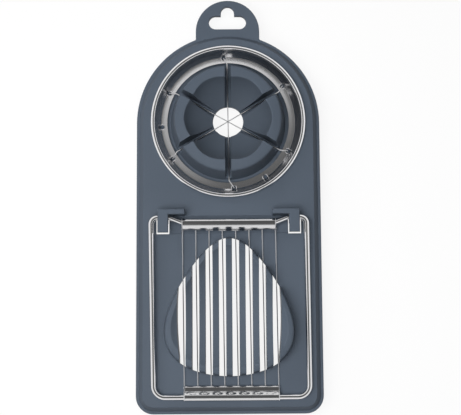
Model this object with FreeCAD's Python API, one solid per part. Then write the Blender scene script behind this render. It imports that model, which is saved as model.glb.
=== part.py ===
"""Egg slicer: a plastic tray with an egg cradle under a hinged wire frame, a wedge cup and its loose ring.

Millimetres. The origin is under the middle of the tray, +Z is up and +Y points to the hang tab.
"""

import FreeCAD
import Part

import math
import os

V = FreeCAD.Vector
UP = V(0, 0, 1)

# Tray
LENGTH = 188.3
WIDTH = 83.3
BRIM_Z = 10.9
PLATE_Z = 14.0
CORNER_R = 8.0
LIP_WIDTH = 1.25
BAND_WIDTH = 3.25
WALL = 2.2
PLATE_UNDER_Z = PLATE_Z - WALL
CUT_MARGIN = 1.0
PLATE_EDGE_R = 0.3
BRIM_EDGE_R = 0.3

# Hang tab and its slot
TAB_WIDTH = 29.3
TAB_THICKNESS = 2.2
TAB_ROOT_R = 0.8
HANG_SLOT_LENGTH = 17.2
HANG_SLOT_WIDTH = 6.3
HANG_SLOT_Y = 83.75
HANG_NOTCH_WIDTH = 6.1
HANG_NOTCH_TOP_Y = 91.3

# Wedge cup and the recess round it
CUP_Y = 36.6
CUP_FLOOR_Z = 9.6
CUP_FOOT_R = 26.3
CUP_SHOULDER_R = 23.9
CUP_SHOULDER_Z = 22.3
CUP_RIM_Z = 23.1
CUP_RIM_APOTHEM = 18.7
CUP_RIM_CORNER_R = 12.5
CUP_SHOULDER_EDGE_R = 1.2
CUP_RIM_EDGE_R = 0.4
CUP_BOWL_DEPTH = 10.5
CUP_BOWL_SPREAD = 1.05
CUP_BOWL_SCALES = [0.25, 0.5, 0.7, 0.85, 0.94]
CUP_HOLE_R = 6.9
CUP_SLOT_WIDTH = 2.7
CUP_SLOT_FLOOR_Z = 12.3
CUP_HOLE_FOOT_Z = 11.5
CUP_HOLE_FOOT_R = 9.5
CUP_SLOT_ANGLES = [30.0, 90.0, 150.0]
CUP_PETAL_WALL = 1.8
RECESS_FLOOR_R = 31.6
RECESS_TOP_R = 33.3

# Egg cradle, round the turn t: y = EGG_Y + EGG_HALF_LENGTH * cos(t) and
# x = EGG_HALF_WIDTH * sin(t) * (1 - EGG_SKEW * cos(t) + EGG_FULLNESS * cos(t)**2)
EGG_Y = -46.9
EGG_HALF_LENGTH = 30.9
EGG_HALF_WIDTH = 26.9
EGG_SKEW = 0.44
EGG_FULLNESS = 0.07
EGG_POINTS = 20
EGG_SHOULDER_SCALE = 0.96
EGG_RIM_SCALE = 0.87
EGG_SHOULDER_EDGE_R = 1.2
EGG_RIM_EDGE_R = 0.5
EGG_SHOULDER_Z = PLATE_Z + 8.2
EGG_RIM_Z = PLATE_Z + 8.75
EGG_BOWL_Z = PLATE_Z + 2.8
EGG_BOWL_SPREAD = 1.04
EGG_BOWL_SCALES = [0.12, 0.35, 0.6, 0.8, 0.92]
EGG_SLOT_SCALE = 0.991
EGG_SLOT_SIDE = [(22.0, -33.0), (22.9, -49.0), (21.9, -68.5)]
RIB_WIDTH = 2.75
RIB_PITCH = 5.9

# Rod frame and its hinge
HINGE_Y = -7.55
HINGE_Z = PLATE_Z + 4.2
ROD_R = 1.15
ROD_RAIL_HINGE_X = 34.5
ROD_RAIL_FRONT_X = 34.15
ROD_HINGE_BEND_R = 2.8
ROD_FRONT_BEND_R = 5.0
ROD_FRONT_Y = -86.35
ROD_FRONT_Z = PLATE_Z + 2.1
ROD_JOG_R = 1.5
ROD_JOG_OUTER_X = 26.2
ROD_JOG_INNER_X = 21.1
ROD_STUB_X = 18.0
FRAME_LEAN = 0.011

# Hinge hooks, their windows and the pocket between them
HOOK_FIT_R = 1.24
HOOK_ROOT_X = (19.5, 31.45)
HOOK_LEG_X = (26.75, 31.45)
HOOK_TOP_Z = PLATE_Z + 7.5
HOOK_BACK_Y = -3.95
HOOK_FRONT_Y = HINGE_Y + HOOK_FIT_R
HOOK_TIP_Y = -14.3
HOOK_SLAB = 1.8
HOOK_CLAW = 1.5
HOOK_CLAW_BOTTOM_Z = HINGE_Z - 0.9
HOOK_EDGE_R = 0.5
WINDOW_X = (26.65, 32.5)
WINDOW_FRONT_Y = -14.5
POCKET_DEPTH = 0.6
POCKET_Y = (-14.3, -6.35)

# Folded sheet bars
SHEET = 0.3
BAR_HALF_LENGTH = 20.6
BAR_ROLL_CLEARANCE = 0.05
BAR_ROLL_R = ROD_R + BAR_ROLL_CLEARANCE + SHEET / 2
BAR_ROLL_TURN = 205.0
BAR_LIP_DROP = 1.9
HINGE_BAR_Y = -9.5
HINGE_BAR_Z = HINGE_Z - 1.0
# Folds after the roll: radius of the middle line and turn, downwards where positive, or length and no turn
HINGE_BAR_FOLDS = [(4.15, 60.0), (0.8, 30.0)]
FRONT_BAR_FOLDS = [(2.7, 55.0), (0.6, -55.0), (1.25, 0.0), (0.8, 90.0)]
BAR_DIMPLE_R = 1.6
BAR_DIMPLE_DEPTH = 0.15
BAR_DIMPLE_ANGLE = 35.0

# Slicing wires
WIRE_R = 0.22
WIRE_PITCH = 5.93
WIRE_COUNT = 8
WIRE_HOLE_CLEARANCE = 0.06
WIRE_BEAD_R = 0.5
WIRE_BEAD_LENGTH = 0.9
WIRE_BEAD_GAP = 0.15
WIRE_BELOW_HINGE_ROLL = 1.5
WIRE_BELOW_FRONT_ROLL = 1.4

# Loose cutter ring with its wires
RING_BEAD_R = 1.15
RING_BEAD_CENTRE_R = 33.85
RING_LIFT = 0.2
RING_SHEET = 0.5
RING_SECTION = [(33.0, 15.2), (30.7, 11.0), (27.7, 11.65)]
RING_BENDS = [0.8]
RING_HOLE_R = 0.95
RING_HOLE_CENTRE_R = 30.1
RING_WIRE_HOLES = [(30.5, 34.0, 213.1), (90.7, 93.6, 274.7), (150.7, 152.8, 333.9)]
RING_SPARE_HOLES = [183.6, 303.6]
RING_WIRE_LEVELS = [13.75, 12.65, 13.2]
RING_WIRE_R = 0.22
RING_WIRE_BEND_R = 0.4
RING_WIRE_RISE = 0.75
RING_KNEE_R = 26.9

HALF_WIDTH = WIDTH / 2
TRAY_FRONT_Y = -LENGTH / 2
TAB_TOP_Y = LENGTH / 2
WIRE_XS = [(i - (WIRE_COUNT - 1) / 2) * WIRE_PITCH for i in range(WIRE_COUNT)]
CUP_AXIS = V(0, CUP_Y, 0)


def polar(radius, degrees, z):
    """Point round the wedge cup's axis."""
    angle = math.radians(degrees)
    return V(radius * math.cos(angle), CUP_Y + radius * math.sin(angle), z)


def prism(wire, height):
    """Solid raised straight up from a flat closed wire."""
    return Part.Face(wire).extrude(UP * height)


def block(low, high):
    """Box between two corners."""
    size = [high[i] - low[i] for i in range(3)]
    return Part.makeBox(size[0], size[1], size[2], V(*low))


def frustum(low_r, high_r, low_z, high_z):
    """Cone or cylinder on the wedge cup's axis."""
    base = V(0, CUP_Y, low_z)
    if low_r == high_r:
        return Part.makeCylinder(low_r, high_z - low_z, base, UP)
    return Part.makeCone(low_r, high_r, high_z - low_z, base, UP)


def mirrored(shape):
    """The same shape on the other side of the tray."""
    return shape.mirror(V(0, 0, 0), V(1, 0, 0))


def fused(shapes):
    """One solid out of several that meet."""
    return shapes[0].multiFuse(shapes[1:]).removeSplitter()


def level_edges(shape, z):
    """Edges of a shape that lie flat at one height."""
    near = 0.01
    return [edge for edge in shape.Edges if z - near < edge.BoundBox.ZMin and edge.BoundBox.ZMax < z + near]


def write(name, shape):
    """Check one piece and write it to its own file."""
    if len(shape.Solids) != 1 or not shape.isValid():
        raise RuntimeError(f"{name} is not one valid solid")
    shape.Solids[0].exportStep(f"parts/{name}.step")
    print(f"{name}: {shape.Volume:.1f} mm3")


def bent_path(points, radii):
    """Straight runs through the points, joined by tangent arcs."""
    edges = []
    start = points[0]
    for before, corner, after, radius in zip(points, points[1:], points[2:], radii):
        arriving = (before - corner).normalize()
        leaving = (after - corner).normalize()
        half = arriving.getAngle(leaving) / 2
        reach = radius / math.tan(half)
        inward = (arriving + leaving).normalize()
        apex = corner + inward * (radius / math.sin(half) - radius)
        edges.append(Part.LineSegment(start, corner + arriving * reach).toShape())
        edges.append(Part.Arc(corner + arriving * reach, apex, corner + leaving * reach).toShape())
        start = corner + leaving * reach
    edges.append(Part.LineSegment(start, points[-1]).toShape())
    return Part.Wire(edges)


def round_bar(path, radius):
    """Round rod or wire along a path."""
    first = path.Edges[0]
    start = first.valueAt(first.FirstParameter)
    section = Part.Wire(Part.makeCircle(radius, start, first.tangentAt(first.FirstParameter)))
    return path.makePipeShell([section], True, False)


def tray_outline(inset, z):
    """Plan of the tray, drawn in by inset: a rectangle with two rounded corners and a round end."""
    half = HALF_WIDTH - inset
    front = TRAY_FRONT_Y + inset
    corner = CORNER_R - inset
    diagonal = corner * (1 - math.sqrt(0.5))

    def round_corner(side):
        stops = [(half - corner, front), (half - diagonal, front + diagonal), (half, front + corner)]
        return Part.Arc(*[V(side * x, y, z) for x, y in stops[::side]])

    edges = [
        Part.LineSegment(V(corner - half, front, z), V(half - corner, front, z)),
        round_corner(1),
        Part.LineSegment(V(half, front + corner, z), V(half, CUP_Y, z)),
        Part.Arc(V(half, CUP_Y, z), V(0, CUP_Y + half, z), V(-half, CUP_Y, z)),
        Part.LineSegment(V(-half, CUP_Y, z), V(-half, front + corner, z)),
        round_corner(-1),
    ]
    return Part.Wire([edge.toShape() for edge in edges])


def hang_tab():
    """Round-ended tab behind the tray, at the height of the lip."""
    radius = TAB_WIDTH / 2
    centre_y = TAB_TOP_Y - radius
    low_z = BRIM_Z - TAB_THICKNESS
    tongue = block((-radius, CUP_Y + HALF_WIDTH - radius, low_z), (radius, centre_y, BRIM_Z))
    end = Part.makeCylinder(radius, TAB_THICKNESS, V(0, centre_y, low_z), UP)
    return tongue.fuse(end)


def hang_slot():
    """Cutter for the hang slot: a long round-ended slot with a round notch above its middle."""
    low_z = BRIM_Z - TAB_THICKNESS - CUT_MARGIN
    height = TAB_THICKNESS + 2 * CUT_MARGIN
    end_r = HANG_SLOT_WIDTH / 2
    end_x = HANG_SLOT_LENGTH / 2 - end_r
    notch_r = HANG_NOTCH_WIDTH / 2
    notch_y = HANG_NOTCH_TOP_Y - notch_r
    shapes = [
        block((-end_x, HANG_SLOT_Y - end_r, low_z), (end_x, HANG_SLOT_Y + end_r, low_z + height)),
        Part.makeCylinder(end_r, height, V(-end_x, HANG_SLOT_Y, low_z), UP),
        Part.makeCylinder(end_r, height, V(end_x, HANG_SLOT_Y, low_z), UP),
        block((-notch_r, HANG_SLOT_Y, low_z), (notch_r, notch_y, low_z + height)),
        Part.makeCylinder(notch_r, height, V(0, notch_y, low_z), UP),
    ]
    return fused(shapes)


def tab_roots(shape):
    """The upright edges in the two corners between the tab and the tray's round end."""
    near = 0.01
    root_y = CUP_Y + math.sqrt(HALF_WIDTH**2 - (TAB_WIDTH / 2) ** 2)
    boxes = [(edge, edge.BoundBox) for edge in shape.Edges]
    return [edge for edge, box in boxes if root_y - near < box.YMin and box.YMax < root_y + near]


def tray_shell():
    """Skirt, lip, hang tab, sloped band and plate, open underneath."""
    skirt = fused([prism(tray_outline(0, 0), BRIM_Z), hang_tab()]).cut(hang_slot())
    skirt = skirt.makeFillet(TAB_ROOT_R, tab_roots(skirt))
    skirt = skirt.makeFillet(BRIM_EDGE_R, level_edges(skirt, BRIM_Z))
    band = Part.makeLoft([tray_outline(LIP_WIDTH, BRIM_Z), tray_outline(BAND_WIDTH, PLATE_Z)], True, True)
    band = band.makeFillet(PLATE_EDGE_R, level_edges(band, PLATE_Z))
    hollow = prism(tray_outline(WALL, -CUT_MARGIN), PLATE_UNDER_Z + CUT_MARGIN)
    return skirt.fuse(band).cut(hollow)


def cup_rim(scale, z):
    """Rounded hexagon with its flats across the slots."""
    corner_r = CUP_RIM_CORNER_R * scale
    corner_centre = (CUP_RIM_APOTHEM * scale - corner_r) / math.cos(math.radians(30))
    edges = []
    for i in range(6):
        middle = 60.0 * i
        centre = polar(corner_centre, middle, z)
        start, apex, end, following = [
            centre + (polar(corner_r, middle + turn, z) - polar(0, 0, z)) for turn in (-30, 0, 30, 30)
        ]
        following = following + polar(corner_centre, middle + 60, z) - centre
        edges.append(Part.Arc(start, apex, end).toShape())
        edges.append(Part.LineSegment(end, following).toShape())
    return Part.Wire(edges)


def cup_circle(radius, z):
    """Circle split where the rim's arcs and flats meet, so that the two can be joined face by face."""
    spread = math.degrees(math.atan2(CUP_RIM_CORNER_R / 2, CUP_RIM_APOTHEM))
    edges = []
    for i in range(6):
        stops = [60.0 * i - spread, 60.0 * i, 60.0 * i + spread, 60.0 * i + 30, 60.0 * (i + 1) - spread]
        edges.append(Part.Arc(*[polar(radius, stop, z) for stop in stops[:3]]).toShape())
        edges.append(Part.Arc(*[polar(radius, stop, z) for stop in stops[2:]]).toShape())
    return Part.Wire(edges)


def cup_slots(width, low_z, reach):
    """Three upright slabs through the cup's axis, along the six slots."""
    slabs = []
    for degrees in CUP_SLOT_ANGLES:
        slab = block((-reach, CUP_Y - width / 2, low_z), (reach, CUP_Y + width / 2, CUP_RIM_Z + CUT_MARGIN))
        slabs.append(slab.rotate(CUP_AXIS, UP, degrees))
    return fused(slabs)


def sunk(scales, spread, depth, rim_z):
    """Height of each scaled outline of a bowl whose walls follow an ellipse, with the rim at scale 1."""
    slack = math.sqrt(1 - 1 / spread**2)
    height = depth / (1 - slack)
    return [rim_z + height * (slack - math.sqrt(1 - (scale / spread) ** 2)) for scale in scales]


def cup_bowl():
    """Cutter for the bowl on the petals: scaled rims that sink along an ellipse."""
    scales = CUP_BOWL_SCALES + [1.0, (1 + CUP_BOWL_SPREAD) / 2]
    heights = sunk(scales, CUP_BOWL_SPREAD, CUP_BOWL_DEPTH, CUP_RIM_Z)
    return Part.makeLoft([cup_rim(scale, z) for scale, z in zip(scales, heights)], True, False)


def wedge_cup():
    """Mound with a sloped shoulder and a bowl, before its hole and slots are cut."""
    side = frustum(CUP_FOOT_R, CUP_SHOULDER_R, CUP_FLOOR_Z - WALL / 2, CUP_SHOULDER_Z)
    top = Part.makeLoft([cup_circle(CUP_SHOULDER_R, CUP_SHOULDER_Z), cup_rim(1, CUP_RIM_Z)], True, True)
    cup = side.fuse(top).removeSplitter()
    cup = cup.makeFillet(CUP_SHOULDER_EDGE_R, level_edges(cup, CUP_SHOULDER_Z))
    cup = cup.cut(cup_bowl())
    return cup.makeFillet(CUP_RIM_EDGE_R, level_edges(cup, CUP_RIM_Z))


def petal_pockets():
    """Cutter that hollows the six petals from below and leaves a channel under each slot."""
    ceiling_z = CUP_SHOULDER_Z - CUP_PETAL_WALL
    core = frustum(CUP_FOOT_R - CUP_PETAL_WALL, CUP_SHOULDER_R - CUP_PETAL_WALL, 0, ceiling_z)
    webs = cup_slots(CUP_SLOT_WIDTH + 2 * CUP_PETAL_WALL, -CUT_MARGIN, CUP_FOOT_R)
    bowl = cup_bowl().translate(V(0, 0, -CUP_PETAL_WALL))
    return core.cut(webs).cut(bowl)


def egg_curve(scale, z):
    """Egg outline of the cradle, drawn in about its middle, pointed end towards the hinge."""
    points = []
    for i in range(EGG_POINTS):
        turn = 2 * math.pi * i / EGG_POINTS
        along = math.cos(turn)
        x = EGG_HALF_WIDTH * math.sin(turn) * (1 - EGG_SKEW * along + EGG_FULLNESS * along**2)
        points.append(V(scale * x, EGG_Y + scale * EGG_HALF_LENGTH * along, z))
    curve = Part.BSplineCurve()
    curve.interpolate(Points=points, PeriodicFlag=True)
    return Part.Wire(curve.toShape())


def egg_bowl():
    """Cutter for the cradle's hollow: scaled egg outlines that sink along an ellipse."""
    scales = EGG_BOWL_SCALES + [1.0, (1 + EGG_BOWL_SPREAD) / 2]
    heights = sunk(scales, EGG_BOWL_SPREAD, EGG_RIM_Z - EGG_BOWL_Z, EGG_RIM_Z)
    sections = [egg_curve(EGG_RIM_SCALE * scale, z) for scale, z in zip(scales, heights)]
    return Part.makeLoft(sections, True, False)


def egg_cradle():
    """Egg-shaped mound with a sloped shoulder, before its slots are cut."""
    foot = egg_curve(1, PLATE_UNDER_Z)
    shoulder = egg_curve(EGG_SHOULDER_SCALE, EGG_SHOULDER_Z)
    rim = egg_curve(EGG_RIM_SCALE, EGG_RIM_Z)
    side = Part.makeLoft([foot, shoulder], True, True)
    top = Part.makeLoft([shoulder, rim], True, True)
    cradle = side.fuse(top).removeSplitter()
    cradle = cradle.makeFillet(EGG_SHOULDER_EDGE_R, level_edges(cradle, EGG_SHOULDER_Z))
    cradle = cradle.cut(egg_bowl())
    return cradle.makeFillet(EGG_RIM_EDGE_R, level_edges(cradle, EGG_RIM_Z))


def egg_slots():
    """Cutter for the slots under the slicing wires: the egg's foot within two side arcs, less the ribs."""
    low_z = PLATE_UNDER_Z - CUT_MARGIN
    height = EGG_RIM_Z + CUT_MARGIN - low_z
    back = EGG_Y + EGG_HALF_LENGTH
    front = EGG_Y - EGG_HALF_LENGTH
    top, middle, bottom = [V(x, y, low_z) for x, y in EGG_SLOT_SIDE]
    right = [V(top.x, back, low_z), top, middle, bottom, V(bottom.x, front, low_z)]
    left = [V(-point.x, point.y, low_z) for point in reversed(right)]
    edges = []
    for side in (right, left):
        edges.append(Part.LineSegment(side[0], side[1]).toShape())
        edges.append(Part.Arc(*side[1:4]).toShape())
        edges.append(Part.LineSegment(side[3], side[4]).toShape())
    edges.insert(3, Part.LineSegment(right[-1], left[0]).toShape())
    edges.append(Part.LineSegment(left[-1], right[0]).toShape())
    opening = prism(Part.Wire(edges), height).common(prism(egg_curve(EGG_SLOT_SCALE, low_z), height))
    ribs = []
    for i in range(WIRE_COUNT - 1):
        x = (i - (WIRE_COUNT - 2) / 2) * RIB_PITCH
        ribs.append(block((x - RIB_WIDTH / 2, front, low_z), (x + RIB_WIDTH / 2, back, low_z + height)))
    return opening.cut(ribs)


def hinge_hook():
    """Root rib and leg of the right-hand hook; the leg's profile has a groove that the rod turns in."""
    root = block((HOOK_ROOT_X[0], HOOK_FRONT_Y, PLATE_UNDER_Z), (HOOK_ROOT_X[1], HOOK_BACK_Y, HOOK_TOP_Z))
    mouth_y = HINGE_Y - HOOK_FIT_R
    claw_y = mouth_y - HOOK_CLAW
    slab_z = HOOK_TOP_Z - HOOK_SLAB
    profile = [
        (mouth_y, HINGE_Z),
        (mouth_y, HOOK_CLAW_BOTTOM_Z),
        (claw_y, HOOK_CLAW_BOTTOM_Z),
        (claw_y, slab_z),
        (HOOK_TIP_Y, slab_z),
        (HOOK_TIP_Y, HOOK_TOP_Z),
        (HOOK_BACK_Y, HOOK_TOP_Z),
        (HOOK_BACK_Y, HINGE_Z),
        (HOOK_FRONT_Y, HINGE_Z),
    ]
    corners = [V(HOOK_LEG_X[0], y, z) for y, z in profile]
    edges = [Part.LineSegment(start, end).toShape() for start, end in zip(corners, corners[1:])]
    groove_top = V(HOOK_LEG_X[0], HINGE_Y, HINGE_Z + HOOK_FIT_R)
    edges.append(Part.Arc(corners[-1], groove_top, corners[0]).toShape())
    leg = Part.Face(Part.Wire(edges)).extrude(V(HOOK_LEG_X[1] - HOOK_LEG_X[0], 0, 0))
    hook = fused([root, leg])
    top_edges = [edge for edge in hook.Edges if edge.BoundBox.ZMin > HOOK_TOP_Z - HOOK_EDGE_R / 2]
    return hook.makeFillet(HOOK_EDGE_R, top_edges)


def hook_window():
    """Cutter for the window in the plate under the right-hand hook."""
    return block(
        (WINDOW_X[0], WINDOW_FRONT_Y, PLATE_UNDER_Z - CUT_MARGIN),
        (WINDOW_X[1], HOOK_FRONT_Y, PLATE_Z + CUT_MARGIN),
    )


def base():
    """The whole plastic moulding."""
    tub = frustum(RECESS_FLOOR_R + WALL, RECESS_TOP_R + WALL, CUP_FLOOR_Z - WALL, PLATE_UNDER_Z)
    solid = fused([tray_shell(), tub, egg_cradle()])
    slope = (RECESS_TOP_R - RECESS_FLOOR_R) / (PLATE_Z - CUP_FLOOR_Z)
    recess = frustum(RECESS_FLOOR_R, RECESS_TOP_R + slope * CUT_MARGIN, CUP_FLOOR_Z, PLATE_Z + CUT_MARGIN)
    pocket = block(
        (-WINDOW_X[0], POCKET_Y[0], PLATE_Z - POCKET_DEPTH), (WINDOW_X[0], POCKET_Y[1], PLATE_Z + CUT_MARGIN)
    )
    window = hook_window()
    solid = solid.cut([recess, pocket, window, mirrored(window), egg_slots()])
    hook = hinge_hook()
    solid = fused([solid, wedge_cup(), hook, mirrored(hook)])
    hole = frustum(CUP_HOLE_R, CUP_HOLE_R, CUP_FLOOR_Z, CUP_RIM_Z + CUT_MARGIN)
    foot = frustum(CUP_HOLE_FOOT_R, CUP_HOLE_R, CUP_FLOOR_Z - WALL - CUT_MARGIN, CUP_HOLE_FOOT_Z)
    slots = cup_slots(CUP_SLOT_WIDTH, CUP_SLOT_FLOOR_Z, CUP_FOOT_R)
    return solid.cut([hole, foot, slots, petal_pockets()]).removeSplitter()


def leaned(x, y):
    """Where a point of the slicing frame sits across the tray: the rods lean a little to the right."""
    return x + FRAME_LEAN * max(0.0, HINGE_Y - y)


def frame_rod():
    """One bent rod: front rail, two side rails, hinge journals and the stubs that carry the hinge bar."""
    right = [
        V(ROD_RAIL_FRONT_X, ROD_FRONT_Y, ROD_FRONT_Z),
        V(ROD_RAIL_HINGE_X, HINGE_Y, HINGE_Z),
        V(ROD_JOG_OUTER_X, HINGE_Y, HINGE_Z),
        V(ROD_JOG_INNER_X, HINGE_BAR_Y, HINGE_BAR_Z),
        V(ROD_STUB_X, HINGE_BAR_Y, HINGE_BAR_Z),
    ]
    left = [V(-point.x, point.y, point.z) for point in reversed(right)]
    path = [V(leaned(point.x, point.y), point.y, point.z) for point in left + right]
    bends = [ROD_FRONT_BEND_R, ROD_HINGE_BEND_R, ROD_JOG_R, ROD_JOG_R]
    return round_bar(bent_path(path, bends[:0:-1] + bends[:1] * 2 + bends[1:]), ROD_R)


def lip_reach(folds):
    """How far the middle line of a bar's lip stands from the middle of its roll."""
    heading = 0.0
    reach = 0.0
    for size, turn in folds:
        onward = heading + math.radians(turn)
        reach += math.copysign(size, turn) * (math.sin(onward) - math.sin(heading)) if turn else size
        heading = onward
    return reach


def sheet_face(folds, side, place):
    """Edges of one face of a folded bar, the given distance outside the sheet's middle line.

    The face starts under the rod, rolls over it, follows the folds and ends in a lip that hangs down.
    """
    heading = math.radians(-BAR_ROLL_TURN)
    across = BAR_ROLL_R * math.sin(heading)
    height = BAR_ROLL_R * math.cos(heading)
    edges = []

    def point(reach=side):
        return place(across + reach * math.sin(heading), height + reach * math.cos(heading))

    for size, turn in [(BAR_ROLL_R, BAR_ROLL_TURN)] + folds:
        start = point()
        if turn:
            radius = math.copysign(size, turn)
            across -= radius * math.sin(heading)
            height -= radius * math.cos(heading)
            stops = [start]
            for _ in range(2):
                heading += math.radians(turn) / 2
                stops.append(point(radius + side))
            edges.append(Part.Arc(*stops).toShape())
            across += radius * math.sin(heading)
            height += radius * math.cos(heading)
        else:
            across += size
            edges.append(Part.LineSegment(start, point()).toShape())
    lip_top = point()
    height = -BAR_LIP_DROP
    edges.append(Part.LineSegment(lip_top, point()).toShape())
    return edges


def bar_section(roll_y, roll_z, toward, folds):
    """Section of a folded bar, at its left end, with the lip towards `toward`."""

    def place(across, height):
        return V(leaned(-BAR_HALF_LENGTH, roll_y), roll_y + toward * across, roll_z + height)

    outer, inner = [sheet_face(folds, side, place) for side in (SHEET / 2, -SHEET / 2)]
    ends = [[edges[i].Vertexes[i].Point for edges in (outer, inner)] for i in (0, -1)]
    roll_edge, lip_edge = [Part.LineSegment(*pair).toShape() for pair in ends]
    return Part.Wire(outer + [lip_edge] + inner[::-1] + [roll_edge])


def folded_bar(roll_y, roll_z, toward, folds, wire_drop):
    """Folded bar with a hole in its lip for each slicing wire, open to the bar's end for the outer two."""
    bar = Part.Face(bar_section(roll_y, roll_z, toward, folds)).extrude(V(2 * BAR_HALF_LENGTH, 0, 0))
    lip_y = roll_y + toward * (lip_reach(folds) - SHEET)
    hole_r = WIRE_R + WIRE_HOLE_CLEARANCE
    holes = []
    for x in WIRE_XS:
        start = V(leaned(x, lip_y), lip_y, roll_z - wire_drop)
        holes.append(Part.makeCylinder(hole_r, 2 * SHEET, start, V(0, toward, 0)))
    return bar.cut(holes)


def front_bar():
    """Front bar, with a dimple pressed into its crown between each two wires."""
    bar = folded_bar(ROD_FRONT_Y, ROD_FRONT_Z, 1, FRONT_BAR_FOLDS, WIRE_BELOW_FRONT_ROLL)
    crown_r = FRONT_BAR_FOLDS[0][0]
    crown_z = ROD_FRONT_Z + BAR_ROLL_R - crown_r
    reach = crown_r + SHEET / 2 + BAR_DIMPLE_R - BAR_DIMPLE_DEPTH
    lean = math.radians(BAR_DIMPLE_ANGLE)
    dimples = []
    for x, following in zip(WIRE_XS, WIRE_XS[1:]):
        middle_x = leaned((x + following) / 2, ROD_FRONT_Y)
        centre = V(middle_x, ROD_FRONT_Y + reach * math.sin(lean), crown_z + reach * math.cos(lean))
        dimples.append(Part.makeSphere(BAR_DIMPLE_R, centre))
    return bar.cut(dimples)


def slicing_wire(x):
    """Straight wire from lip to lip, with a bead inside each bar that holds it."""
    inset = SHEET / 2 + WIRE_BEAD_GAP
    back_y = HINGE_BAR_Y - lip_reach(HINGE_BAR_FOLDS) + inset
    front_y = ROD_FRONT_Y + lip_reach(FRONT_BAR_FOLDS) - inset
    ends = [
        V(leaned(x, back_y), back_y, HINGE_BAR_Z - WIRE_BELOW_HINGE_ROLL),
        V(leaned(x, front_y), front_y, ROD_FRONT_Z - WIRE_BELOW_FRONT_ROLL),
    ]
    along = (ends[1] - ends[0]).normalize()
    wire = Part.makeCylinder(WIRE_R, (ends[1] - ends[0]).Length, ends[0], along)
    beads = [
        Part.makeCylinder(WIRE_BEAD_R, WIRE_BEAD_LENGTH, ends[0], -along),
        Part.makeCylinder(WIRE_BEAD_R, WIRE_BEAD_LENGTH, ends[1], along),
    ]
    return fused([wire] + beads)


def cutter_ring():
    """Rolled bead and a trough of sheet, with small pierced holes that the wires are laced through."""
    path = bent_path([V(radius, CUP_Y, z) for radius, z in RING_SECTION], RING_BENDS)
    section = path.makeOffset2D(RING_SHEET, 0, True, True)
    trough = section.revolve(CUP_AXIS, UP, 360)
    bead_z = PLATE_Z + RING_LIFT + RING_BEAD_R
    ring = fused([Part.makeTorus(RING_BEAD_CENTRE_R, RING_BEAD_R, V(0, CUP_Y, bead_z), UP), trough])
    angles = [degrees for _, first, last in RING_WIRE_HOLES for degrees in (first, last)] + RING_SPARE_HOLES
    floor_z = RING_SECTION[1][1]
    holes = []
    for degrees in angles:
        low = polar(RING_HOLE_CENTRE_R, degrees, floor_z - 2 * RING_SHEET)
        holes.append(Part.makeCylinder(RING_HOLE_R, 5 * RING_SHEET, low, UP))
    return ring.cut(holes)


def wedge_wire(wire_angle, first_hole, last_hole, level):
    """Wire across the ring: up out of one hole, over the lip, straight across, and down the other hole."""
    floor_z = RING_SECTION[1][1]
    points = [
        polar(RING_HOLE_CENTRE_R, first_hole, floor_z - RING_SHEET),
        polar(RING_HOLE_CENTRE_R, first_hole, floor_z + RING_WIRE_RISE),
        polar(RING_KNEE_R, wire_angle, level),
        polar(-RING_KNEE_R, wire_angle, level),
        polar(RING_HOLE_CENTRE_R, last_hole, floor_z + RING_WIRE_RISE),
        polar(RING_HOLE_CENTRE_R, last_hole, floor_z - RING_SHEET),
    ]
    return round_bar(bent_path(points, [RING_WIRE_BEND_R] * 4), RING_WIRE_R)


def main():
    os.makedirs("parts", exist_ok=True)
    write("base", base())
    write("frame_rod", frame_rod())
    write("hinge_bar", folded_bar(HINGE_BAR_Y, HINGE_BAR_Z, -1, HINGE_BAR_FOLDS, WIRE_BELOW_HINGE_ROLL))
    write("front_bar", front_bar())
    for number, x in enumerate(WIRE_XS, 1):
        write(f"slicing_wire_{number}", slicing_wire(x))
    write("cutter_ring", cutter_ring())
    for number, (route, level) in enumerate(zip(RING_WIRE_HOLES, RING_WIRE_LEVELS), 1):
        write(f"wedge_wire_{number}", wedge_wire(*route, level))


main()
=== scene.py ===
"""Egg slicer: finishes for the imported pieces, the finer steel details and the studio stage."""

import math

import bpy
from bpy.props import FloatProperty, FloatVectorProperty, PointerProperty
from mathutils import Matrix, Vector


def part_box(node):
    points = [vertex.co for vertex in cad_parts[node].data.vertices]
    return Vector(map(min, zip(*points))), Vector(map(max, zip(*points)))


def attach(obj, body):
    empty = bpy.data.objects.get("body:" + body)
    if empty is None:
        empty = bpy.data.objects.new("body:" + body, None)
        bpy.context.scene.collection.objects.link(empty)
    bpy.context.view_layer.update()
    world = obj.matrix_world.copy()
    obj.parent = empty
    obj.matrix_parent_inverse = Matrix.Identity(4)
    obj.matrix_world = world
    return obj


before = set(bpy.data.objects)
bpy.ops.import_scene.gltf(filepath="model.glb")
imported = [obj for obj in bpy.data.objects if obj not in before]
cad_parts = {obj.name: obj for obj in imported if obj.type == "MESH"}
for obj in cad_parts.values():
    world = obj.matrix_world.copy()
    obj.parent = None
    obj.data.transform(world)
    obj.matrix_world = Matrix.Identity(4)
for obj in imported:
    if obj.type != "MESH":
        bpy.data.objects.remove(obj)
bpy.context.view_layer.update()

bl_info = {
    "name": "Egg slicer",
    "version": (1, 0, 0),
    "blender": (4, 5, 0),
    "location": "View3D > Sidebar > Egg slicer",
    "description": "Dresses the egg slicer's plastic and steel pieces and sets up its studio stage",
    "category": "Object",
}

MM = 0.001
SLICING_WIRES = [f"slicing_wire_{number}" for number in range(1, 9)]
WEDGE_WIRES = [f"wedge_wire_{number}" for number in range(1, 4)]

# Painted shade in the bowl of the wedge cup: how far out it reaches, and how softly it begins at the side and
# at the top
BOWL_SHADE_R = 21.0 * MM
BOWL_SHADE_SIDE_BLEND = 0.5 * MM
BOWL_SHADE_TOP_BLEND = 0.3 * MM

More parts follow.
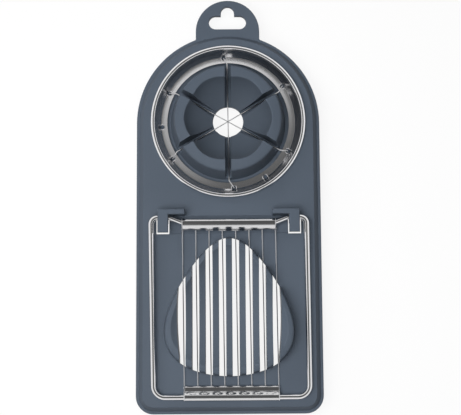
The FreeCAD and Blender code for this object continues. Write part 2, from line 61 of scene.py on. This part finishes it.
# Collars of the slicing wires, and the loops of the outer two past the bars' ends
WIRE_BEAD_R = 0.5 * MM
BAR_ROLL_R = 1.5 * MM
BAR_LIP = 0.15 * MM
LOOP_R = 0.2 * MM
LOOP_ROUND_ROD_R = 1.42 * MM
LOOP_GAP = 0.36 * MM
LOOP_DEGREES = range(-25, 226, 10)
COLLAR_R = 0.34 * MM
COLLAR_WIRE_R = 0.11 * MM

# Raised rims of the ring's holes, placed by degrees round the ring
HOLE_ANGLES = (34.0, 93.6, 152.8, 183.6, 213.1, 274.7, 303.6, 333.9)
HOLE_CENTRE_R = 30.1 * MM
RIM_R = 1.12 * MM
RIM_WIRE_R = 0.2 * MM
RIM_TILT = math.radians(12.2)
RIM_LANDING_R = 1.1 * RIM_R

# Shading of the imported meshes
WELD_GAP = 0.002 * MM
CREASE_ANGLE = math.radians(32.0)
BEVEL_SAMPLES = 6

# Shades of a colour that a finish goes between, and of the steel colour on each kind of steel
PLASTIC_SHADES = (0.72, 1.5)
STEEL_SHADES = (0.94, 1.04)
ROD_SHADE = 0.9
SHEET_SHADE = 0.8

# Marks in a metre along x, y and z, and how rough each kind of steel is
FLOW_MARKS = (30.0, 12.0, 30.0)
ROD_MARKS = (900.0, 300.0, 900.0)
SHEET_MARKS = (250.0, 6000.0, 6000.0)
WIRE_MARKS = (9000.0, 300.0, 9000.0)
LACED_MARKS = (3000.0, 3000.0, 3000.0)
RING_MARKS = 9000.0
STEEL_CLOUDS = 120.0
RING_CLOUDS = 90.0
ROD_ROUGHNESS = 0.08
SHEET_ROUGHNESS = 0.16
RING_ROUGHNESS = 0.2
WIRE_ROUGHNESS = 0.42
STEEL_EDGE_R = 0.2 * MM

# Stage: paper, room seen in the steel by height, and each softbox's size and place
BLACK = (0.0, 0.0, 0.0)
WHITE = (1.0, 1.0, 1.0)
PAPER_COLOUR = (0.11, 0.11, 0.11)
FLOOR_REACH = 2.0
BACKGROUND_RAYS = ("Camera", "Glossy", "Transmission")
ROOM_LEVELS = [(0.0, 1.0), (0.74, 1.0), (0.86, 0.12), (1.0, 0.09)]
GLOW_FALLOFF = 1.5
SOFTBOXES = {
    "left": (0.14, (-0.4, 0.35, 0.28)),
    "right": (0.14, (0.4, 0.35, 0.28)),
    "top": (0.28, (-0.05, -0.05, 0.45)),
    "front": (0.28, (-0.2, -0.12, 0.42)),
}
CLIP_START = 10.0 * MM


class Term:
    """A shader socket that takes part in Python arithmetic: each operation adds a Math node."""

    def __init__(self, finish, socket):
        self.finish = finish
        self.socket = socket

    def maths(self, operation, first, second=0.0):
        return self.finish.node("ShaderNodeMath", {"operation": operation}, {0: first, 1: second})

    def __add__(self, other):
        return self.maths("ADD", self, other)

    def __radd__(self, other):
        return self.maths("ADD", other, self)

    def __sub__(self, other):
        return self.maths("SUBTRACT", self, other)

    def __rsub__(self, other):
        return self.maths("SUBTRACT", other, self)

    def __mul__(self, other):
        return self.maths("MULTIPLY", self, other)

    def __rmul__(self, other):
        return self.maths("MULTIPLY", other, self)

    def __truediv__(self, other):
        return self.maths("DIVIDE", self, other)

    def __rtruediv__(self, other):
        return self.maths("DIVIDE", other, self)

    def __pow__(self, other):
        return self.maths("POWER", self, other)

    def __rpow__(self, other):
        return self.maths("POWER", other, self)

    def __neg__(self):
        return self.maths("MULTIPLY", self, -1.0)

    def larger(self, other):
        return self.maths("MAXIMUM", self, other)

    def clamped(self):
        return self.maths("MINIMUM", self.maths("MAXIMUM", self, 0.0), 1.0)


class Finish:
    """A material or world under construction, with one method that adds any node."""

    def __init__(self, owner):
        self.owner = owner
        owner.use_nodes = True
        self.tree = owner.node_tree
        self.tree.nodes.clear()

    def node(self, kind, settings=None, values=None, output=0):
        made = self.tree.nodes.new(kind)
        for name, setting in (settings or {}).items():
            if name == "stops":
                self.set_stops(made.color_ramp.elements, setting)
            else:
                setattr(made, name, setting)
        for name, value in (values or {}).items():
            if isinstance(value, Term):
                self.tree.links.new(value.socket, made.inputs[name])
            else:
                made.inputs[name].default_value = value
        return Term(self, made.outputs[output]) if made.outputs else None

    @staticmethod
    def set_stops(elements, stops):
        while len(elements) < len(stops):
            elements.new(1.0)
        for element, (position, level) in zip(elements, stops):
            element.position = position
            element.color = (level, level, level, 1.0)

    def noise(self, place, scale, detail=2.0):
        return self.node("ShaderNodeTexNoise", None, {"Vector": place, "Scale": scale, "Detail": detail})

    def place(self):
        return self.node("ShaderNodeTexCoord", None, None, "Object")

    def vector(self, operation, first, second=(0.0, 0.0, 0.0), output=0):
        return self.node("ShaderNodeVectorMath", {"operation": operation}, {0: first, 1: second}, output)

    def stretched(self, place, factors):
        return self.vector("MULTIPLY", place, factors)

    def tinted(self, mask, first, second):
        settings = {"data_type": "RGBA"}
        values = {"Factor": mask, 6: (*first, 1.0), 7: (*second, 1.0)}
        return self.node("ShaderNodeMix", settings, values, 2)

    def shaded(self, mask, colour, shades):
        dark, light = [scaled(colour, shade) for shade in shades]
        return self.tinted(mask, dark, light)

    def surface(self, shader):
        self.node("ShaderNodeOutputMaterial", None, {"Surface": shader})
        return self.owner


def scaled(colour, factor):
    """The same hue, lighter or darker."""
    return [channel * factor for channel in colour]


def about_cup(finish, place):
    """Distance from the upright axis of the wedge cup, and height above the table."""
    low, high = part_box("cutter_ring")
    centre = (low + high) / 2
    away = finish.vector("SUBTRACT", place, (centre.x, centre.y, 0.0))
    radius = finish.vector("LENGTH", finish.stretched(away, (1.0, 1.0, 0.0)), output=1)
    height = finish.node("ShaderNodeSeparateXYZ", None, {0: place}, 2)
    return radius, height


def painted_bowl_shade(finish, place):
    """One on the bowl of the wedge cup, where shade is painted in, nought on the rest of the tray."""
    radius, height = about_cup(finish, place)
    below_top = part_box("base")[1].z - BOWL_SHADE_TOP_BLEND - height
    return ((BOWL_SHADE_R - radius) / BOWL_SHADE_SIDE_BLEND).clamped() * (below_top / BOWL_SHADE_TOP_BLEND).clamped()


def moulded_plastic(settings):
    """Satin moulded plastic: a fine grain, faint flow marks, edges polished by handling that also get a
    painted highlight, and painted shade in the wedge cup's bowl.
    """
    finish = Finish(bpy.data.materials.new("moulded_plastic"))
    place = finish.place()
    grain = finish.noise(place, settings.grain_scale, 3.0)
    flow = finish.noise(finish.stretched(place, FLOW_MARKS), 1.0, 3.0)
    soft_edge = finish.node("ShaderNodeBevel", {"samples": BEVEL_SAMPLES}, {"Radius": settings.edge_softness})
    true_normal = finish.node("ShaderNodeNewGeometry", None, None, "Normal")
    facing = finish.vector("DOT_PRODUCT", soft_edge, true_normal, 1)
    # Edges: lower roughness from polish, and a lighter colour that is a painted highlight.
    polish_and_highlight = ((1.0 - facing) * 4.0).clamped()
    # Painted shade: the bowl of the wedge cup is made darker in colour.
    bowl_shade = painted_bowl_shade(finish, place)
    # Tone: real grain and flow marks, plus the painted highlight on edges and the painted shade in the bowl.
    tone_and_painted_light = (0.35 + 0.5 * (flow - 0.5) + 0.2 * (grain - 0.5) + 0.4 * polish_and_highlight - 0.8 * bowl_shade).clamped()
    relief = {"Strength": 0.12, "Distance": 0.05 * MM, "Height": grain, "Normal": soft_edge}
    values = {
        "Base Color": finish.shaded(tone_and_painted_light, settings.plastic_colour, PLASTIC_SHADES),
        "Roughness": settings.plastic_roughness + 0.08 * (grain - 0.5) + 0.06 * (flow - 0.5) - 0.06 * polish_and_highlight,
        "Normal": finish.node("ShaderNodeBump", None, relief),
        "Specular IOR Level": 0.1,
    }
    return finish.surface(finish.node("ShaderNodeBsdfPrincipled", None, values))


def steel(name, marks, roughness, colour):
    """Bright steel with fine marks drawn along the directions in which they are few."""
    finish = Finish(bpy.data.materials.new(name))
    place = finish.place()
    lines = finish.noise(finish.stretched(place, marks), 1.0, 3.0)
    cloud = finish.noise(place, STEEL_CLOUDS, 2.0)
    soft_edge = finish.node("ShaderNodeBevel", {"samples": BEVEL_SAMPLES}, {"Radius": STEEL_EDGE_R})
    relief = {"Strength": 0.02, "Distance": 0.01 * MM, "Height": lines, "Normal": soft_edge}
    values = {
        "Base Color": finish.shaded(lines, colour, STEEL_SHADES),
        "Metallic": 1.0,
        "Roughness": roughness + 0.04 * (lines - 0.5) + 0.04 * (cloud - 0.5),
        "Normal": finish.node("ShaderNodeBump", None, relief),
    }
    return finish.surface(finish.node("ShaderNodeBsdfPrincipled", None, values))


def turned_steel(name, roughness, colour):
    """Spun sheet steel: fine rings about the cutter's own axis."""
    finish = Finish(bpy.data.materials.new(name))
    place = finish.place()
    radius, height = about_cup(finish, place)
    turning = {"W": (radius - height) * RING_MARKS, "Scale": 1.0, "Detail": 2.0}
    rings = finish.node("ShaderNodeTexNoise", {"noise_dimensions": "1D"}, turning)
    cloud = finish.noise(place, RING_CLOUDS, 2.0)
    values = {
        "Base Color": finish.shaded(rings, colour, STEEL_SHADES),
        "Metallic": 1.0,
        "Roughness": roughness + 0.06 * (rings - 0.5) + 0.05 * (cloud - 0.5),
    }
    return finish.surface(finish.node("ShaderNodeBsdfPrincipled", None, values))


def dressed(node, material):
    """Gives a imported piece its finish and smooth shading."""
    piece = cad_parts[node]
    piece.data.materials.clear()
    piece.data.materials.append(material)
    piece.data.polygons.foreach_set("use_smooth", [True] * len(piece.data.polygons))
    weld = piece.modifiers.new("weld", "WELD")
    weld.merge_threshold = WELD_GAP
    split = piece.modifiers.new("crease", "EDGE_SPLIT")
    split.split_angle = CREASE_ANGLE
    split.use_edge_sharp = False
    return piece


def bent_wires(name, paths, radius, closed, body, material):
    """One piece made of round wires, each bent along a path of points."""
    curve = bpy.data.curves.new(name, "CURVE")
    curve.dimensions = "3D"
    curve.bevel_depth = radius
    curve.bevel_resolution = 3
    curve.use_fill_caps = True
    for path in paths:
        spline = curve.splines.new("POLY")
        spline.points.add(len(path) - 1)
        spline.use_cyclic_u = closed
        for knot, place in zip(spline.points, path):
            knot.co = (*place, 1.0)
    holder = bpy.data.objects.new(name, curve)
    mesh = bpy.data.meshes.new_from_object(holder)
    bpy.data.objects.remove(holder)
    bpy.data.curves.remove(curve)
    mesh.materials.clear()
    mesh.materials.append(material)
    mesh.polygons.foreach_set("use_smooth", [True] * len(mesh.polygons))
    piece = bpy.data.objects.new(name, mesh)
    bpy.context.scene.collection.objects.link(piece)
    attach(piece, body)
    return piece


def circle(centre, first, second, radius, count=28):
    """Points round a circle in the plane of two unit vectors."""
    turns = [2 * math.pi * step / count for step in range(count)]
    return [centre + radius * (math.cos(turn) * first + math.sin(turn) * second) for turn in turns]


def wire_end(node, toward):
    """Where a slicing wire meets the lip of the front bar (toward 1) or of the hinge bar (toward -1)."""
    low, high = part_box(node)
    if toward > 0:
        return Vector((high.x - WIRE_BEAD_R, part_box("front_bar")[1].y, low.z + WIRE_BEAD_R))
    return Vector((low.x + WIRE_BEAD_R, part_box("hinge_bar")[0].y, high.z - WIRE_BEAD_R))


def end_loop(node, bar, toward, outward):
    """Path of an outer wire past the end of a bar: up over the lip, across and round the rod."""
    low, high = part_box(bar)
    roll_y = low.y + BAR_ROLL_R if toward > 0 else high.y - BAR_ROLL_R
    roll_z = high.z - BAR_ROLL_R
    lip = wire_end(node, toward) - Vector((0.0, toward * BAR_LIP, 0.0))
    end_x = high.x if outward > 0 else low.x
    x = end_x + outward * LOOP_R
    path = [Vector((x, lip.y, lip.z)), Vector((x, lip.y, lip.z + LOOP_GAP))]
    for degrees in LOOP_DEGREES:
        turn = math.radians(90 + toward * degrees)
        out = LOOP_ROUND_ROD_R * Vector((0.0, math.cos(turn), math.sin(turn)))
        path.append(Vector((x, roll_y, roll_z)) + out)
    return path


def hole_rim(degrees):
    """Path of the raised rim round one of the ring's holes, tilted with the ring's sheet."""
    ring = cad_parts["cutter_ring"]
    low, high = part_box("cutter_ring")
    turn = math.radians(degrees)
    outward = Vector((math.cos(turn), math.sin(turn), 0.0))
    along = Vector((-math.sin(turn), math.cos(turn), 0.0))
    up = Vector((0.0, 0.0, 1.0))
    centre = (low + high) / 2 + HOLE_CENTRE_R * outward
    landings = []
    for side in (along, -along):
        start = centre + RIM_LANDING_R * side + 2 * (high.z - low.z) * up
        landings.append(ring.ray_cast(start, -up)[1])
    centre.z = sum(place.z for place in landings) / 2
    return circle(centre, math.cos(RIM_TILT) * outward - math.sin(RIM_TILT) * up, along, RIM_R)


class EggSlicerSettings(bpy.types.PropertyGroup):
    """Colours, finishes, light and view that a user may change."""

    plastic_colour: FloatVectorProperty(
        name="Plastic colour",
        description="Colour of the moulded tray",
        subtype="COLOR",
        default=(0.083, 0.103, 0.132),
    )
    plastic_roughness: FloatProperty(
        name="Plastic roughness", description="How matt the tray is", default=0.42, min=0.0, max=1.0
    )
    grain_scale: FloatProperty(
        name="Grain", description="Cells of the plastic's grain in a metre", default=2600.0, min=1.0
    )
    edge_softness: FloatProperty(
        name="Edge softness",
        description="Radius of the tray's moulded edges",
        default=0.35 * MM,
        unit="LENGTH",
    )
    steel_colour: FloatVectorProperty(
        name="Steel colour",
        description="Colour of the bare steel",
        subtype="COLOR",
        default=(0.85, 0.85, 0.86),
    )
    left_power: FloatProperty(
        name="Left lamp", description="Power of the left softbox", default=0.9, unit="POWER"
    )
    right_power: FloatProperty(
        name="Right lamp", description="Power of the right softbox", default=0.25, unit="POWER"
    )
    top_power: FloatProperty(
        name="Top lamp", description="Power of the softbox overhead", default=1.5, unit="POWER"
    )
    front_power: FloatProperty(
        name="Front lamp", description="Power of the front softbox", default=0.85, unit="POWER"
    )
    room_light: FloatProperty(
        name="Room light", description="Strength of the soft light all round", default=0.02
    )
    left_glow: FloatProperty(
        name="Left glow", description="How much brighter the left of the ceiling is in the steel", default=0.8
    )
    floor_glow: FloatProperty(
        name="Floor glow", description="Brightness of the lit paper floor where it is seen", default=0.88
    )
    view_target: FloatVectorProperty(
        name="View target",
        description="Point that the camera looks at",
        subtype="TRANSLATION",
        default=(0.85 * MM, -2.43 * MM, 11.8 * MM),
        precision=5,
    )
    view_distance: FloatProperty(
        name="View distance", description="From the camera to its target", default=442.6 * MM, unit="LENGTH"
    )
    view_tilt: FloatProperty(
        name="View tilt",
        description="Lean of the view from straight down",
        default=math.radians(6.5),
        subtype="ANGLE",
    )
    view_roll: FloatProperty(
        name="View roll", description="Turn of the camera", default=math.radians(-0.382), subtype="ANGLE"
    )
    view_lens: FloatProperty(
        name="Lens", description="Focal length in millimetres", default=76.58, unit="CAMERA"
    )


def settings_of(context):
    """The add-on's settings in the current scene."""
    return context.scene.egg_slicer


class EGGSLICER_OT_tray(bpy.types.Operator):
    """Give the moulded tray its satin plastic"""

    bl_idname = "egg_slicer.tray"
    bl_label = "Tray"

    def execute(self, context):
        dressed("base", moulded_plastic(settings_of(context)))
        return {"FINISHED"}


class EGGSLICER_OT_slicing_frame(bpy.types.Operator):
    """Give the rod and its two folded bars their bright steel"""

    bl_idname = "egg_slicer.slicing_frame"
    bl_label = "Slicing frame"

    def execute(self, context):
        settings = settings_of(context)
        rod_colour = scaled(settings.steel_colour, ROD_SHADE)
        sheet_colour = scaled(settings.steel_colour, SHEET_SHADE)
        rod = steel("drawn_rod", ROD_MARKS, ROD_ROUGHNESS, rod_colour)
        sheet = steel("folded_sheet", SHEET_MARKS, SHEET_ROUGHNESS, sheet_colour)
        dressed("frame_rod", rod)
        dressed("hinge_bar", sheet)
        dressed("front_bar", sheet)
        return {"FINISHED"}


class EGGSLICER_OT_slicing_wires(bpy.types.Operator):
    """Give the slicing wires their drawn steel, collars at the lips and loops past the bars' ends"""

    bl_idname = "egg_slicer.slicing_wires"
    bl_label = "Slicing wires"

    def execute(self, context):
        settings = settings_of(context)
        wire = steel("drawn_wire", WIRE_MARKS, WIRE_ROUGHNESS, settings.steel_colour)
        for node in SLICING_WIRES:
            dressed(node, wire)
        across, up = Vector((1.0, 0.0, 0.0)), Vector((0.0, 0.0, 1.0))
        ends = [wire_end(node, toward) for node in SLICING_WIRES for toward in (1, -1)]
        collars = [circle(end, across, up, COLLAR_R, 16) for end in ends]
        bent_wires("wire_collars", collars, COLLAR_WIRE_R, True, "slicer_frame", wire)
        outer = ((SLICING_WIRES[0], -1), (SLICING_WIRES[-1], 1))
        bars = (("front_bar", 1), ("hinge_bar", -1))
        loops = [end_loop(node, bar, toward, outward) for node, outward in outer for bar, toward in bars]
        bent_wires("end_loops", loops, LOOP_R, False, "slicer_frame", wire)
        return {"FINISHED"}


class EGGSLICER_OT_wedge_cutter(bpy.types.Operator):
    """Give the loose ring and its wires their spun and drawn steel, and each hole its raised rim"""

    bl_idname = "egg_slicer.wedge_cutter"
    bl_label = "Wedge cutter"

    def execute(self, context):
        settings = settings_of(context)
        sheet = turned_steel("spun_sheet", RING_ROUGHNESS, settings.steel_colour)
        dressed("cutter_ring", sheet)
        rims = [hole_rim(degrees) for degrees in HOLE_ANGLES]
        bent_wires("hole_rims", rims, RIM_WIRE_R, True, "wedge_cutter", sheet)
        wire = steel("laced_wire", LACED_MARKS, WIRE_ROUGHNESS, settings.steel_colour)
        for node in WEDGE_WIRES:
            dressed(node, wire)
        return {"FINISHED"}


def lamp(name, power, size, place, target):
    """Square softbox at a place, turned to a target."""
    data = bpy.data.lights.new(name, "AREA")
    data.size = size
    data.energy = power
    made = bpy.data.objects.new(name, data)
    made.location = place
    made.rotation_euler = (Vector(target) - Vector(place)).to_track_quat("-Z", "Y").to_euler()
    made.visible_glossy = False
    bpy.context.scene.collection.objects.link(made)
    return made


def seen_or_mirrored(finish):
    """One for rays that show a background, in the camera, in metal or through glass, and nought for light."""
    rays = [finish.node("ShaderNodeLightPath", None, None, f"Is {kind} Ray") for kind in BACKGROUND_RAYS]
    return rays[0].larger(rays[1]).larger(rays[2])


def paper_floor(settings):
    """White paper that glows a little where it is seen directly or mirrored, and still takes shadows."""
    finish = Finish(bpy.data.materials.new("paper_floor"))
    values = {
        "Base Color": (*PAPER_COLOUR, 1.0),
        "Roughness": 1.0,
        "Specular IOR Level": 0.0,
        "Emission Color": finish.tinted(seen_or_mirrored(finish), BLACK, scaled(WHITE, settings.floor_glow)),
        "Emission Strength": 1.0,
    }
    return finish.surface(finish.node("ShaderNodeBsdfPrincipled", None, values))


def studio_room(settings):
    """Soft light all round; the steel mirrors pale walls under a dark ceiling that is lighter to the left."""
    room = Finish(bpy.data.worlds.new("studio_room"))
    toward = room.node("ShaderNodeTexCoord", None, None, "Generated")
    height = room.node("ShaderNodeSeparateXYZ", None, {0: toward}, 2)
    across = room.node("ShaderNodeSeparateXYZ", None, {0: toward}, 0)
    walls = room.node("ShaderNodeValToRGB", {"stops": ROOM_LEVELS}, {0: height})
    backdrop = (walls + settings.left_glow * (-across).clamped() ** GLOW_FALLOFF).clamped()
    dim = room.node("ShaderNodeBackground", None, {"Color": (*WHITE, 1.0), "Strength": settings.room_light})
    bright = room.node("ShaderNodeBackground", None, {"Color": (*WHITE, 1.0), "Strength": 1.0})
    light = room.node("ShaderNodeMixShader", None, {0: seen_or_mirrored(room) * backdrop, 1: dim, 2: bright})
    room.node("ShaderNodeOutputWorld", None, {"Surface": light})
    return room.owner


def laid_floor(scene, settings):
    """Sheet of paper under the object, wide enough for every view."""
    sides = ((-1, -1), (1, -1), (1, 1), (-1, 1))
    corners = [(x * FLOOR_REACH, y * FLOOR_REACH, 0.0) for x, y in sides]
    mesh = bpy.data.meshes.new("floor")
    mesh.from_pydata(corners, [], [(0, 1, 2, 3)])
    mesh.materials.append(paper_floor(settings))
    floor = bpy.data.objects.new("floor", mesh)
    scene.collection.objects.link(floor)


def placed_camera(scene, settings):
    """Camera above the object, leaning a little from straight down."""
    data = bpy.data.cameras.new("camera")
    data.lens = settings.view_lens
    data.clip_start = CLIP_START
    camera = bpy.data.objects.new("camera", data)
    tilt = Matrix.Rotation(settings.view_tilt, 4, "X")
    roll = Matrix.Rotation(settings.view_roll, 4, "Z")
    away = tilt @ Vector((0.0, 0.0, settings.view_distance))
    camera.matrix_world = Matrix.Translation(Vector(settings.view_target) + away) @ tilt @ roll
    scene.collection.objects.link(camera)
    scene.camera = camera


class EGGSLICER_OT_stage(bpy.types.Operator):
    """Set up the paper floor, the softboxes, the room light and the camera"""

    bl_idname = "egg_slicer.stage"
    bl_label = "Stage"

    def execute(self, context):
        settings = settings_of(context)
        scene = context.scene
        laid_floor(scene, settings)
        for side, (size, place) in SOFTBOXES.items():
            power = getattr(settings, f"{side}_power")
            lamp(f"{side}_softbox", power, size, place, settings.view_target)
        scene.world = studio_room(settings)
        placed_camera(scene, settings)
        scene.view_settings.view_transform = "Standard"
        return {"FINISHED"}


OPERATORS = [
    EGGSLICER_OT_tray,
    EGGSLICER_OT_slicing_frame,
    EGGSLICER_OT_slicing_wires,
    EGGSLICER_OT_wedge_cutter,
    EGGSLICER_OT_stage,
]


class EGGSLICER_PT_panel(bpy.types.Panel):
    """Lists the egg slicer's settings and its operators"""

    bl_label = "Egg slicer"
    bl_idname = "EGGSLICER_PT_panel"
    bl_space_type = "VIEW_3D"
    bl_region_type = "UI"
    bl_category = "Egg slicer"

    def draw(self, context):
        settings = settings_of(context)
        for name in EggSlicerSettings.__annotations__:
            self.layout.prop(settings, name)
        for operator in OPERATORS:
            self.layout.operator(operator.bl_idname)


CLASSES = [EggSlicerSettings, *OPERATORS, EGGSLICER_PT_panel]


def register():
    """Adds the classes and the scene's settings."""
    for each in CLASSES:
        bpy.utils.register_class(each)
    bpy.types.Scene.egg_slicer = PointerProperty(type=EggSlicerSettings)


def unregister():
    """Removes the settings and the classes."""
    del bpy.types.Scene.egg_slicer
    for each in reversed(CLASSES):
        bpy.utils.unregister_class(each)


def main():
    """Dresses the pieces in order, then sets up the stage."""
    register()
    bpy.ops.egg_slicer.tray()
    bpy.ops.egg_slicer.slicing_frame()
    bpy.ops.egg_slicer.slicing_wires()
    bpy.ops.egg_slicer.wedge_cutter()
    bpy.ops.egg_slicer.stage()


if __name__ == "__main__":
    main()
